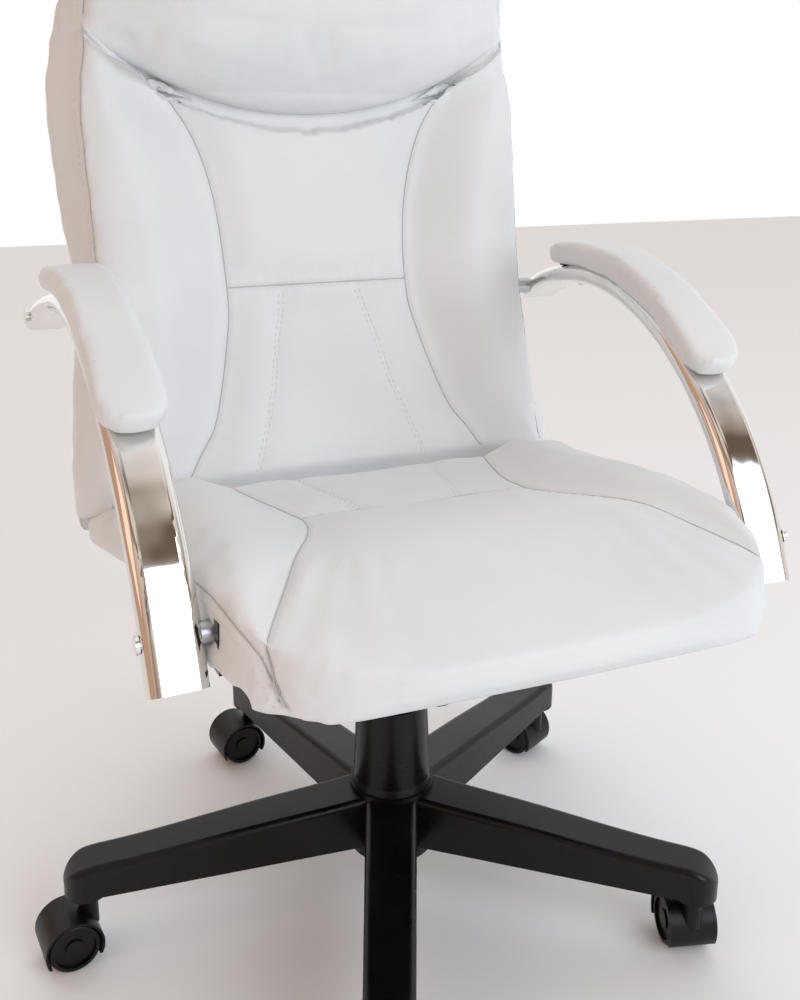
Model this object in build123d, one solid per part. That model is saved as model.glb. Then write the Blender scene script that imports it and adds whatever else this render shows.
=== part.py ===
from build123d import *
import math
import os

# Swivel office chair, high-backed and padded, on a five-star base with twin-wheel castors.
# Frame: millimetres, +Z up, origin on the floor under the column; the sitter faces -Y.

# Star base and castors
LEG_COUNT = 5
FIRST_LEG_DEG = -111.8          # heading of the first leg, from +X
STEM_CIRCLE_R = 314.0           # castor stems stand on this circle
LEG_BOTTOM_Z = 74.0
LEG_TIP_BOTTOM_Z = 70.0
LEG_TIP_TOP_Z = 108.0
LEG_ROOT_TOP_Z = 133.0
LEG_ROOT_W = 54.0
LEG_EDGE_R = 6.0
LEG_TIP_R = 21.5
LEG_WALL = 5.0
HUB_R = 44.0
HUB_BOTTOM_Z = 60.0
HUB_TOP_Z = 134.0
WHEEL_R = 25.0
WHEEL_W = 19.0
WHEEL_GAP = 4.0                 # from the castor's middle plane to each wheel
TRAIL = 20.0                    # axle stands this far behind the stem
AXLE_R = 3.0
STEM_R = 5.5
STEM_FOOT_Z = 47.0
STEM_TOP_Z = 92.0
SOCKET_R = 8.0
HOOD_R = 28.5
HOOD_WALL = 2.3
HOOD_HALF_W = 24.0
TRAIL_HEADINGS = (-150.0, 75.0, 118.0, -170.0, -172.0)
RUNNING_FIT = 0.05

# Gas lift and its telescopic cover
OUTER_TUBE_R = 25.0
OUTER_TUBE_TOP_Z = 270.0
PRESSURE_TUBE_R = 14.0
PRESSURE_TUBE_BORE_R = 11.5
PRESSURE_TUBE_BOTTOM_Z = 82.0
PRESSURE_TUBE_TOP_Z = 345.0
LIFT_ROD_R = 5.0
COVER_BASE_R = 40.0
COVER_TOP_R = 36.5
COVER_TOP_Z = 228.0

# Tilt mechanism
HOUSING_BOTTOM_Z = 322.0
HOUSING_W = 116.0
HOUSING_SHEET = 3.0
PIVOT_Y = -60.0
PIVOT_Z = 358.0
PIVOT_R = 7.0
PLATE_T = 4.0
PLATE_HALF_W = 85.0
KNOB_Y = -104.0
LEVER_Y = -22.0
LEVER_Z = 345.0

# Seat and back shell
SEAT_RISE = 0.12                # underside rises this much per unit of length to the front
SEAT_BOTTOM_Z = 379.0           # underside of the seat above the column
SHELL_T = 12.0
SHELL_HALF_W = 232.0
SEAT_HALF_W = 250.0             # seat cushion at its widest
BACK_HALF_W = 262.0             # back cushion at its widest
BACK_TOP_Z = 1112.0

# Arms, one bent flat-oval tube on each side
ARM_TUBE_W = 46.0
ARM_TUBE_T = 20.0
ARM_TUBE_WALL = 1.6
ARM_BEND_R = 330.0
ARM_APEX_Y = 75.0
ARM_APEX_Z = 639.0
ARM_APEX_X = 274.0
ARM_PLAN_DEG = 3.1              # front part, out of line with the chair's middle plane
ARM_FRONT_DEG = 65.5
ARM_FRONT_RUN = 35.0
ARM_CREST_DEG = 11.0
ARM_FLARE_DEG = 5.8
ARM_FLARE_R = 200.0
ARM_REAR_DEG = 17.0
PAD_BASE_T = 3.0
ARM_PAD_T = 18.0
ARM_PAD_W = 52.0
ARM_PAD_FRONT_DEG = 38.5
ARM_PAD_REAR_DEG = 12.0
ANCHOR_X = 228.0                # outer face of the anchors inside the foam
BOLT_R = 4.0
BOLT_HEAD_R = 7.0
FOOT_BOLT_UP = 38.0             # bolt's distance from the tube's lower end
FOOT_BOLT_REACH = 36.0          # bolt's tip, from the tube's middle
TAIL_BOLT_UP = 20.0
TAIL_BOLT_REACH = 72.0
PAD_SCREW_DEG = (-8.0, 27.0)


def seat_underside(y):
    return SEAT_BOTTOM_Z - SEAT_RISE * y


def polar(radius, degrees, z=0.0):
    angle = math.radians(degrees)
    return (radius * math.cos(angle), radius * math.sin(angle), z)


def disc(radius, z_low, z_high, x=0.0, y=0.0):
    return Pos(x, y, (z_low + z_high) / 2) * Cylinder(radius, z_high - z_low)


def block(x0, x1, y0, y1, z0, z1):
    return Pos((x0 + x1) / 2, (y0 + y1) / 2, (z0 + z1) / 2) * Box(x1 - x0, y1 - y0, z1 - z0)


def side_prism(points, half_width):
    """Closed outline in the YZ plane, given a width along X."""
    outline = make_face(Polyline(*points, close=True))
    return extrude(Plane.YZ * outline, half_width, both=True)


def largest(shape):
    return max(shape.solids(), key=lambda solid: solid.volume)


def mirrored(shape):
    return mirror(shape, about=Plane.YZ)


def write(name, *solids):
    shape = solids[0] if len(solids) == 1 else Compound(children=list(solids))
    export_step(shape, "parts/" + name + ".step")


# ---------------------------------------------------------------- five-star base

def leg_plan(margin):
    """Tapered leg seen from above, with a round tip about the castor stem."""
    root = LEG_ROOT_W / 2 - margin
    tip = LEG_TIP_R - margin
    taper = Polyline((10, -root), (STEM_CIRCLE_R, -tip), (STEM_CIRCLE_R, tip), (10, root), close=True)
    return make_face(taper) + Pos(STEM_CIRCLE_R, 0) * Circle(tip)


def leg_side(top_drop, bottom):
    """Leg seen from the side: its top falls outwards and rolls over at the tip."""
    end = STEM_CIRCLE_R + LEG_TIP_R + 2
    top = Spline(
        (10, LEG_ROOT_TOP_Z - top_drop),
        (150, 120 - top_drop),
        (STEM_CIRCLE_R - 20, LEG_TIP_TOP_Z - top_drop),
        (STEM_CIRCLE_R + 6, 104 - top_drop),
        (end - 5, 94 - top_drop),
        (end, 80 - top_drop),
    )
    rest = Polyline(top @ 1, (end, bottom), (10, bottom), top @ 0)
    return extrude(Plane.XZ * make_face(top + rest), 40, both=True)


def rounded_leg():
    """Outside of a leg with its long upper edges rounded."""
    body = extrude(leg_plan(0), 160) & leg_side(0, LEG_BOTTOM_Z)
    upper = [edge for edge in body.edges() if edge.center().Z > 80 and edge.length > 30
             and abs(edge.center().Y) > 10 and edge.bounding_box().size.X > 30]
    return fillet(upper, LEG_EDGE_R)


def leg():
    outside = rounded_leg()
    inside = extrude(leg_plan(LEG_WALL), 160) & leg_side(LEG_WALL + 3, LEG_BOTTOM_Z - 5)
    shell = outside - (inside - disc(HUB_R - 3, 0, 200))
    boss = disc(SOCKET_R + 4, LEG_BOTTOM_Z, LEG_TIP_TOP_Z - 8, x=STEM_CIRCLE_R) & outside
    boss = boss + disc(LEG_TIP_R, LEG_TIP_BOTTOM_Z, LEG_BOTTOM_Z + 3, x=STEM_CIRCLE_R)
    ribs = [block(r, r + 4, -30, 30, LEG_BOTTOM_Z + 6, 140) & outside for r in (110, 180, 250)]
    return shell + boss + ribs[0] + ribs[1] + ribs[2]


def socket_position(index):
    return polar(STEM_CIRCLE_R, FIRST_LEG_DEG + index * 360 / LEG_COUNT)


def star_base():
    base = disc(HUB_R, HUB_BOTTOM_Z, HUB_TOP_Z)
    one_leg = leg()
    for index in range(LEG_COUNT):
        base = base + Rot(0, 0, FIRST_LEG_DEG + index * 360 / LEG_COUNT) * one_leg
    base = base - disc(OUTER_TUBE_R, 0, 300)
    for index in range(LEG_COUNT):
        x, y, _ = socket_position(index)
        base = base - disc(SOCKET_R, 0, STEM_TOP_Z + 2, x, y)
    return base


def castor_sockets():
    """Steel sleeves pressed into the leg tips, which grip the castor stems."""
    sleeves = []
    for index in range(LEG_COUNT):
        x, y, _ = socket_position(index)
        outside = disc(SOCKET_R, LEG_TIP_BOTTOM_Z, STEM_TOP_Z + 2, x, y)
        sleeves.append(outside - disc(STEM_R + RUNNING_FIT, 0, STEM_TOP_Z + 0.5, x, y))
    return sleeves


# ---------------------------------------------------------------- twin-wheel castors
# Each castor is drawn with its stem on the Z axis and its axle TRAIL away along +X.

def along_axle(radius, y0, y1, x=TRAIL, z=WHEEL_R):
    return Pos(x, (y0 + y1) / 2, z) * Rot(90, 0, 0) * Cylinder(radius, y1 - y0)


def castor_hood():
    """Moulded body: curved hood over both wheels, a middle web and the stem boss."""
    drum = along_axle(HOOD_R, -HOOD_HALF_W, HOOD_HALF_W)
    cavity = along_axle(HOOD_R - HOOD_WALL, -HOOD_HALF_W - 1, HOOD_HALF_W + 1)
    web = along_axle(HOOD_R - 1, -WHEEL_GAP + 0.5, WHEEL_GAP - 0.5)
    boss = disc(9.5, 34, LEG_TIP_BOTTOM_Z - 1.0)
    keep = block(-60, 60, -60, 60, 12, 90)
    boss = boss - along_axle(WHEEL_R + 1, WHEEL_GAP - 0.5, 30) - along_axle(WHEEL_R + 1, -30, -WHEEL_GAP + 0.5)
    body = (drum - cavity + web + boss) & keep
    body = body - disc(STEM_R, STEM_FOOT_Z, 90) - along_axle(AXLE_R, -40, 40)
    return largest(body)


def castor_pins():
    """Steel stem, with its grip band, and the axle through the web."""
    stem = disc(STEM_R, STEM_FOOT_Z, STEM_TOP_Z)
    groove_z = STEM_TOP_Z - 12
    stem = stem - (disc(STEM_R + 1, groove_z, groove_z + 3) - disc(STEM_R - 0.8, 70, STEM_TOP_Z))
    axle = along_axle(AXLE_R, -WHEEL_GAP - WHEEL_W + 4, WHEEL_GAP + WHEEL_W - 4)
    return stem, axle


def castor_wheel(side):
    """One wheel; its rim is rounded and its outer face is dished around a hub cap."""
    inner = WHEEL_GAP
    tread = along_axle(WHEEL_R, inner, inner + WHEEL_W)
    tread = fillet(tread.edges().filter_by(GeomType.CIRCLE), 3.0)
    dish = along_axle(WHEEL_R - 5, inner + WHEEL_W - 3, inner + WHEEL_W + 1)
    cap = along_axle(9, inner + WHEEL_W - 4, inner + WHEEL_W - 1)
    bore = along_axle(AXLE_R + RUNNING_FIT, inner - 1, inner + WHEEL_W - 3.9)
    wheel = tread - dish + cap - bore
    return wheel if side > 0 else mirror(wheel, about=Plane.XZ)


def place_castor(index, shape):
    x, y, _ = socket_position(index)
    return Pos(x, y, 0) * Rot(0, 0, TRAIL_HEADINGS[index]) * shape


# ---------------------------------------------------------------- gas lift and cover

def lift_outer_tube():
    tube = disc(OUTER_TUBE_R, 56, OUTER_TUBE_TOP_Z) - disc(OUTER_TUBE_R - 1.8, 60, 300)
    return tube - disc(LIFT_ROD_R, 40, 70)


def lift_guide():
    """Plastic sleeve inside the outer tube, in which the pressure tube slides and turns."""
    sleeve = disc(OUTER_TUBE_R - 1.8, 150, OUTER_TUBE_TOP_Z)
    return sleeve - disc(PRESSURE_TUBE_R + RUNNING_FIT, 100, 300)


def lift_rod():
    """Thin rod fixed to the bottom of the outer tube, with its piston at the top."""
    rod = disc(LIFT_ROD_R, 53, 300)
    return rod + disc(PRESSURE_TUBE_BORE_R - RUNNING_FIT, 300, 318)


def lift_clip():
    ring = disc(11, 52.5, 56) - disc(LIFT_ROD_R, 40, 70)
    return ring


def pressure_tube():
    tube = disc(PRESSURE_TUBE_R, PRESSURE_TUBE_BOTTOM_Z, PRESSURE_TUBE_TOP_Z)
    tube = tube - disc(PRESSURE_TUBE_BORE_R, 60, PRESSURE_TUBE_TOP_Z - 12)
    return tube - disc(4, 320, 360)


def tube_gland():
    """Seal at the lower end of the pressure tube, through which the rod slides."""
    gland = disc(PRESSURE_TUBE_BORE_R, PRESSURE_TUBE_BOTTOM_Z, PRESSURE_TUBE_BOTTOM_Z + 14)
    return gland - disc(LIFT_ROD_R + RUNNING_FIT, 60, 120)


def release_pin():
    return disc(4, PRESSURE_TUBE_TOP_Z - 12, PRESSURE_TUBE_TOP_Z + 1)


def ring_profile(points):
    return revolve(Plane.XZ * make_face(Polyline(*points, close=True)), Axis.Z)


def cover_lower():
    """Tapered lower stage of the column cover, standing on the hub."""
    outline = [
        (OUTER_TUBE_R, HUB_TOP_Z), (COVER_BASE_R + 1.5, HUB_TOP_Z), (COVER_BASE_R, HUB_TOP_Z + 8),
        (COVER_TOP_R, COVER_TOP_Z - 2), (COVER_TOP_R - 2, COVER_TOP_Z), (31.6, COVER_TOP_Z),
        (31.6, COVER_TOP_Z - 4), (33.6, COVER_TOP_Z - 4), (33.6, HUB_TOP_Z + 4), (OUTER_TUBE_R, HUB_TOP_Z + 4),
    ]
    return ring_profile(outline)


def cover_middle():
    outline = [
        (29.0, HUB_TOP_Z + 6), (33.0, HUB_TOP_Z + 6), (33.0, HUB_TOP_Z + 9), (31.2, HUB_TOP_Z + 9),
        (31.2, 262), (28.6, 262), (28.6, 258), (29.0, 258),
    ]
    return ring_profile(outline)


def cover_upper():
    outline = [
        (26.0, 152), (28.2, 152), (28.2, HOUSING_BOTTOM_Z - 0.4), (14.4, HOUSING_BOTTOM_Z - 0.4),
        (14.4, HOUSING_BOTTOM_Z - 3.4), (26.0, HOUSING_BOTTOM_Z - 3.4),
    ]
    return ring_profile(outline)


# ---------------------------------------------------------------- tilt mechanism

def mechanism_housing():
    """Pressed steel tray with the socket for the gas lift; its back falls away for the tilt."""
    outline = [
        (-125, HOUSING_BOTTOM_Z), (78, HOUSING_BOTTOM_Z), (78, HOUSING_BOTTOM_Z + 6),
        (-30, 360), (-48, 370), (-72, 372), (-125, 352),
    ]
    body = side_prism(outline, HOUSING_W / 2)
    hollow = [
        (-122, HOUSING_BOTTOM_Z + HOUSING_SHEET), (75, HOUSING_BOTTOM_Z + HOUSING_SHEET),
        (75, 420), (-122, 420),
    ]
    tray = body - side_prism(hollow, HOUSING_W / 2 - HOUSING_SHEET)
    socket = disc(20, HOUSING_BOTTOM_Z, 338)
    tray = tray + socket - disc(PRESSURE_TUBE_R, 300, 400)
    tray = tray - Pos(0, PIVOT_Y, PIVOT_Z) * Rot(0, 90, 0) * Cylinder(PIVOT_R + RUNNING_FIT, 200)
    tray = tray - disc(5 + RUNNING_FIT, 300, 340, y=KNOB_Y)
    lever_slot = block(-80, -50, LEVER_Y - 7, LEVER_Y + 7, LEVER_Z - 7, LEVER_Z + 7)
    return tray - lever_slot


def tilt_axle():
    return Pos(0, PIVOT_Y, PIVOT_Z) * Rot(0, 90, 0) * Cylinder(PIVOT_R, HOUSING_W + 22)


def tilt_rubber():
    """Bonded rubber sleeve around the tilt axle, which is the return spring."""
    sleeve = Pos(0, PIVOT_Y, PIVOT_Z) * Rot(0, 90, 0) * Cylinder(14, 96)
    return sleeve - Pos(0, PIVOT_Y, PIVOT_Z) * Rot(0, 90, 0) * Cylinder(PIVOT_R, 200)


def seat_plate():
    """Steel plate under the shell, with two ears on the tilt axle."""
    top = [(-115, seat_underside(-115)), (105, seat_underside(105))]
    bottom = [(105, seat_underside(105) - PLATE_T), (-115, seat_underside(-115) - PLATE_T)]
    plate = side_prism(top + bottom, PLATE_HALF_W)
    for side in (-1, 1):
        x = side * (HOUSING_W / 2 + 4)
        profile = Pos(PIVOT_Y, PIVOT_Z) * Circle(14)
        profile = profile + Pos(PIVOT_Y, (PIVOT_Z + 384) / 2) * Rectangle(28, 384 - PIVOT_Z)
        ear = Pos(x - 2, 0, 0) * extrude(Plane.YZ * profile, 4)
        plate = plate + ear
    return plate - Pos(0, PIVOT_Y, PIVOT_Z) * Rot(0, 90, 0) * Cylinder(PIVOT_R + RUNNING_FIT, 200)


def plate_bolts():
    bolts = []
    for x in (-70, 70):
        for y in (-100, 90):
            z = seat_underside(y)
            head = disc(7, z - PLATE_T - 4.5, z - PLATE_T - 0.9, x, y)
            bolts.append(head + disc(3, z - PLATE_T - 1, z + 10, x, y))
    return bolts


def tension_bolt():
    return disc(5, 306, 342, y=KNOB_Y) + disc(9, 334, 342, y=KNOB_Y)


def tension_knob():
    """Fluted hand knob under the front of the mechanism."""
    knob = disc(26, 286, 314, y=KNOB_Y)
    knob = fillet(knob.edges().filter_by(GeomType.CIRCLE), 4)
    for index in range(10):
        x, y, _ = polar(29, index * 36)
        knob = knob - disc(6, 280, 320, x, y + KNOB_Y)
    neck = disc(13, 310, HOUSING_BOTTOM_Z - 0.3, y=KNOB_Y)
    return knob + neck - disc(5, 306, 330, y=KNOB_Y)


def lever_rod():
    return Pos(-115, LEVER_Y, LEVER_Z) * Rot(0, 90, 0) * Cylinder(3, 170)


def height_lever():
    """Steel lever over the release pin; it leaves through a slot in the sitter's right wall."""
    near, far = LEVER_Y - 8, LEVER_Y + 7
    paddle = block(-30, 10, near, far, LEVER_Z - 2, LEVER_Z + 2)
    riser = block(4, 10, near, far, LEVER_Z - 2, LEVER_Z + 6.5)
    tongue = block(-6, 10, near, 6, LEVER_Z + 4, LEVER_Z + 6.5)
    return paddle + lever_rod() + riser + tongue


def lever_grip():
    grip = block(-205, -160, LEVER_Y - 11, LEVER_Y + 11, LEVER_Z - 6, LEVER_Z + 6)
    return fillet(grip.edges().filter_by(Axis.X), 4) - lever_rod()


# ---------------------------------------------------------------- seat and back shell

def shell_path():
    """Middle line of the bent plywood, from the seat's front edge up to the back's top."""
    offset = 2 + SHELL_T / 2
    points = [
        (-282, seat_underside(-282) + offset), (216, seat_underside(216) + offset),
        (243, 440), (275, 644), (309, 819), (321, 950), (319, BACK_TOP_Z - 40),
    ]
    return FilletPolyline(*points, radius=(62, 300, 300, 300, 300))


def plywood_shell():
    """Bent plywood in one piece: the seat board, the bend and the back board."""
    band = extrude(Plane.YZ * trace(shell_path(), line_width=SHELL_T), SHELL_HALF_W, both=True)
    seat = shell_seat_plan() & block(-300, 300, -400, 400, 300, 480)
    back = back_front_outline(BACK_HALF_W - SHELL_HALF_W) & block(-300, 300, 100, 400, 470, 1300)
    return largest(band & (seat + back))


def shell_front_y(z):
    """Front face of the shell's back part at a height, along its lower straight stretch."""
    share = (z - 440) / (644 - 440)
    return 243 + share * (275 - 243) - SHELL_T / 2


def before_shell():
    """Everything above and in front of the shell's upper face."""
    inner = shell_path()
    wall = trace(inner, line_width=SHELL_T)
    outline = [(-700, 300), (-282, 300)] + [(p.X, p.Y) for p in inner.positions([i / 40 for i in range(41)])]
    outline += [(319, 1400), (-700, 1400)]
    region = make_face(Polyline(*outline, close=True)) - wall
    return extrude(Plane.YZ * region, 300, both=True)


def shell_seat_plan():
    """Seat board seen from above, well inside the cushion's outline."""
    half = SHELL_HALF_W
    outline = Polyline((-half, 330), (-half, -90), (-half + 16, -225), (-half + 44, -285),
                       (half - 44, -285), (half - 16, -225), (half, -90), (half, 330), close=True)
    board = extrude(make_face(outline), 700)
    return fillet(board.edges().filter_by(Axis.Z).sort_by(Axis.Y)[:4], 30)


def seat_plan():
    """Seat seen from above: straight sides and well rounded front corners."""
    half = SEAT_HALF_W
    front = Spline((-half, -70), (-243, -150), (-232, -225), (-212, -298), (-110, -339), (0, -345),
                   (110, -339), (212, -298), (232, -225), (243, -150), (half, -70))
    back = Polyline(front @ 1, (half, 330), (-half, 330), front @ 0)
    return extrude(make_face(front + back), 700)


def seat_side():
    """Seat seen from the side: hollow at the back and a big roll over the front edge."""
    top = Spline((320, 450), (140, 438), (20, 446), (-90, 464), (-200, 484), (-290, 474), (-341, 446),
                 (-322, 417))
    under = Polyline(top @ 1, (-285, seat_underside(-285)), (320, seat_underside(320)), top @ 0)
    return extrude(Plane.YZ * make_face(top + under), 300, both=True)


def crease_prism(upper):
    """Half-space above, or below, the joint between the back and the seat cushion."""
    if upper:
        return side_prism([(100, 416), (260, 372), (600, 372), (600, 1300), (100, 1300)], 400)
    return side_prism([(100, 416), (260, 372), (600, 372), (600, 200), (-500, 200), (-500, 1300), (100, 1300)], 400)


def back_front_outline(inset=0.0):
    """Back seen from the front: narrower and rounded at the top."""
    half, top = BACK_HALF_W - inset, BACK_TOP_Z - inset
    right = Spline((half, 700), (half, 830), (248 - inset, 905), (218 - inset, 1010 - inset / 2),
                   (150 - inset / 2, 1087 - inset), (0, top), tangents=[(0, 1), (-1, 0)])
    left = mirror(right, about=Plane.YZ)
    rest = Polyline((-half, 700), (-half, 340), (half, 340), (half, 700))
    return extrude(Plane.XZ * make_face(right + left + rest), -500)


def back_side():
    """Back seen from the side, with its padding in front of and behind the shell."""
    front = Spline((140, 425), (186, 530), (224, 621), (250, 760), (262, 860), (268, 980), (290, 1085),
                   (310, BACK_TOP_Z))
    rear = Spline((334, BACK_TOP_Z - 4), (340, 1040), (341, 950), (329, 819), (295, 644), (264, 440),
                  (246, 358))
    return extrude(Plane.YZ * make_face(Polyline(front @ 1, rear @ 0) + front + rear
                                        + Polyline(rear @ 1, (140, 358), front @ 0)), 300, both=True)


def headrest_region():
    """Area of the pillow seen from the front; its lower seam sags in the middle."""
    seam = Spline((-270, 900), (-176, 845), (-100, 815), (0, 802), (100, 815), (176, 845), (270, 900))
    rest = Polyline(seam @ 1, (270, 1200), (-270, 1200), seam @ 0)
    return extrude(Plane.XZ * make_face(seam + rest), -500)


def headrest_side():
    front = Spline((262, 800), (236, 830), (222, 900), (226, 990), (258, 1070), (296, BACK_TOP_Z - 6))
    rear = Polyline(front @ 1, (400, BACK_TOP_Z), (400, 800), front @ 0)
    return extrude(Plane.YZ * make_face(front + rear), 300, both=True)


# ---------------------------------------------------------------- arms
# The arms are built on the sitter's right (-X) and mirrored.

def arm_frame(degrees):
    """Plane square to the arm at an angle from its crest, before the flare; X is its width."""
    plan = math.radians(ARM_PLAN_DEG)
    width = Vector(math.cos(plan), math.sin(plan), 0)
    forward = Vector(math.sin(plan), -math.cos(plan), 0)
    angle = math.radians(degrees)
    up = Vector(0, 0, 1)
    centre = Vector(-ARM_APEX_X, ARM_APEX_Y, ARM_APEX_Z - ARM_BEND_R)
    outward = up * math.cos(angle) + forward * math.sin(angle)
    tangent = forward * math.cos(angle) - up * math.sin(angle)
    return Plane(origin=centre + outward * ARM_BEND_R, x_dir=width, z_dir=tangent)


def bend_axis(plane):
    """Axis of the arm's bend, below a plane square to the arm."""
    return Axis(plane.origin - plane.y_dir * ARM_BEND_R, plane.x_dir)


def flare_axis():
    """Upright axis, outside the arm, about which its rear part turns outwards."""
    crest = arm_frame(-ARM_CREST_DEG)
    return Axis(crest.origin - crest.x_dir * ARM_FLARE_R, crest.y_dir)


def rear_frame():
    """Plane square to the arm just behind the flare."""
    crest = arm_frame(-ARM_CREST_DEG)
    turn = math.radians(ARM_FLARE_DEG)
    width = crest.x_dir * math.cos(turn) - crest.z_dir * math.sin(turn)
    forward = crest.z_dir * math.cos(turn) + crest.x_dir * math.sin(turn)
    return Plane(origin=flare_axis().position + width * ARM_FLARE_R, x_dir=width, z_dir=forward)


def tail_frame():
    """Plane square to the arm at its rear end."""
    rear = rear_frame()
    turn = math.radians(ARM_REAR_DEG)
    centre = rear.origin - rear.y_dir * ARM_BEND_R
    outward = rear.y_dir * math.cos(turn) - rear.z_dir * math.sin(turn)
    forward = rear.z_dir * math.cos(turn) + rear.y_dir * math.sin(turn)
    return Plane(origin=centre + outward * ARM_BEND_R, x_dir=rear.x_dir, z_dir=forward)


def foot_frame():
    """Plane square to the arm at its lower end."""
    front = arm_frame(ARM_FRONT_DEG)
    return Plane(origin=front.origin + front.z_dir * ARM_FRONT_RUN, x_dir=front.x_dir, z_dir=front.z_dir)


def tube_section(plane, inset):
    return plane * SlotOverall(ARM_TUBE_W - 2 * inset, ARM_TUBE_T - 2 * inset)


def arm_bar(inset):
    """Arm as a solid bar: front run, main bend, outward flare and rear bend."""
    front = arm_frame(ARM_FRONT_DEG)
    crest = arm_frame(-ARM_CREST_DEG)
    rear = rear_frame()
    run = extrude(tube_section(front, inset), ARM_FRONT_RUN, dir=front.z_dir)
    main = revolve(tube_section(crest, inset), bend_axis(crest), ARM_FRONT_DEG + ARM_CREST_DEG)
    flare = revolve(tube_section(crest, inset), flare_axis(), ARM_FLARE_DEG)
    tail_axis = Axis(rear.origin - rear.y_dir * ARM_BEND_R, rear.x_dir * -1)
    tail = revolve(tube_section(rear, inset), tail_axis, ARM_REAR_DEG)
    return run + main + flare + tail


def arm_end_plugs():
    """Plastic plugs in the two cut ends of the tube."""
    foot, tail = foot_frame(), tail_frame()
    low = extrude(tube_section(foot, ARM_TUBE_WALL), 3, dir=foot.z_dir * -1)
    high = extrude(tube_section(tail, ARM_TUBE_WALL), 3, dir=tail.z_dir)
    return low, largest(high & arm_bar(ARM_TUBE_WALL))


def across_arm(frame, along):
    """Plane whose Z runs through the arm's width, towards the chair's middle."""
    return Plane(origin=frame.origin + frame.z_dir * along, x_dir=frame.z_dir, z_dir=frame.x_dir)


def arm_bolt(frame, along, reach):
    """Bolt through the tube's width, with a round head on the outside."""
    outside = -ARM_TUBE_W / 2
    shank = Pos(0, 0, (outside + reach) / 2) * Cylinder(BOLT_R, reach - outside)
    head = Pos(0, 0, outside - 1.2) * Cylinder(BOLT_HEAD_R, 3.0)
    return across_arm(frame, along) * (shank + head)


def arm_spacer(frame, along, reach):
    """Bush between the tube's inner edge and the anchor inside the padding."""
    start = ARM_TUBE_W / 2 - 2.5
    return across_arm(frame, along) * Pos(0, 0, (start + reach) / 2) * Cylinder(9, reach - start)


def low_anchor():
    """Steel angle on the seat part of the shell, inside the foam."""
    at = across_arm(foot_frame(), -FOOT_BOLT_UP).origin
    near, far = at.Y - 18, at.Y + 18
    rise = 2 + SHELL_T + 0.1
    base = [(near, seat_underside(near) + rise), (far, seat_underside(far) + rise)]
    strap = side_prism(base + [(far, base[1][1] + 3), (near, base[0][1] + 3)], ANCHOR_X)
    leaf = side_prism(base + [(far, at.Z + 14), (near, at.Z + 14)], ANCHOR_X)
    reach = block(-ANCHOR_X, -ANCHOR_X + 40, -400, 400, 300, 600)
    return (strap & reach) + (leaf & block(-ANCHOR_X, -ANCHOR_X + 4, -400, 400, 300, 600))


def high_anchor():
    """Steel angle on the back part of the shell, inside the foam."""
    at = across_arm(tail_frame(), TAIL_BOLT_UP).origin
    slope = shell_front_y(at.Z + 18) - shell_front_y(at.Z - 18)
    low_y, high_y = shell_front_y(at.Z) - slope / 2 - 0.1, shell_front_y(at.Z) + slope / 2 - 0.1
    strap = side_prism([(low_y, at.Z - 18), (high_y, at.Z + 18), (high_y - 3, at.Z + 18),
                        (low_y - 3, at.Z - 18)], ANCHOR_X)
    leaf = side_prism([(low_y, at.Z - 18), (high_y, at.Z + 18), (at.Y - 14, at.Z + 18),
                       (at.Y - 14, at.Z - 18)], ANCHOR_X)
    reach = block(-ANCHOR_X, -ANCHOR_X + 40, 0, 400, 300, 900)
    return (strap & reach) + (leaf & block(-ANCHOR_X, -ANCHOR_X + 4, 0, 400, 300, 900))


def pad_slab(low_r, high_r, width, front_deg, rear_deg, tip_r):
    """Curved slab on top of the arm, with rounded corners at its front end."""
    rear = arm_frame(-rear_deg)
    section = rear * Pos(0, (low_r + high_r) / 2 - ARM_BEND_R) * Rectangle(width, high_r - low_r)
    slab = revolve(section, bend_axis(rear), front_deg + rear_deg)
    tip = arm_frame(front_deg)
    corners = [edge for edge in slab.edges().filter_by(GeomType.LINE)
               if abs(edge.length - (high_r - low_r)) < 0.01 and (edge.center() - tip.origin).length < 60]
    return fillet(corners, tip_r)


def arm_pad():
    low_r = ARM_BEND_R + ARM_TUBE_T / 2 + PAD_BASE_T
    return pad_slab(low_r, low_r + ARM_PAD_T, ARM_PAD_W, ARM_PAD_FRONT_DEG, ARM_PAD_REAR_DEG, 22)


def pad_base():
    low_r = ARM_BEND_R + ARM_TUBE_T / 2
    return pad_slab(low_r, low_r + PAD_BASE_T, 36, ARM_PAD_FRONT_DEG - 2, ARM_PAD_REAR_DEG - 1, 14)


def pad_screw(degrees):
    """Dome-headed screw from under the tube into the pad's base."""
    frame = arm_frame(degrees)
    upright = Plane(origin=frame.origin, x_dir=frame.x_dir, z_dir=frame.y_dir)
    shank = Pos(0, 0, 1) * Cylinder(2.5, 23)
    dome = Pos(0, 0, -ARM_TUBE_T / 2 + 2) * Sphere(6.5) & Pos(0, 0, -ARM_TUBE_T / 2 - 3) * Cylinder(6, 6)
    return upright * (shank + dome)


# ---------------------------------------------------------------- write every node

os.makedirs("parts", exist_ok=True)

write("star_base", star_base())
write("castor_sockets", *castor_sockets())
write("lift_outer_tube", lift_outer_tube())
write("lift_guide", lift_guide())
write("lift_rod", lift_rod())
write("lift_clip", lift_clip())
write("cover_lower", cover_lower())
write("cover_middle", cover_middle())
write("cover_upper", cover_upper())

hood = castor_hood()
pins = castor_pins()
wheels = {"a": castor_wheel(-1), "b": castor_wheel(1)}
for castor in range(LEG_COUNT):
    name = f"castor_{castor + 1}_"
    write(name + "hood", place_castor(castor, hood))
    write(name + "pins", *[place_castor(castor, pin) for pin in pins])
    for side, wheel in wheels.items():
        write(name + "wheel_" + side, place_castor(castor, wheel))

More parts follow.
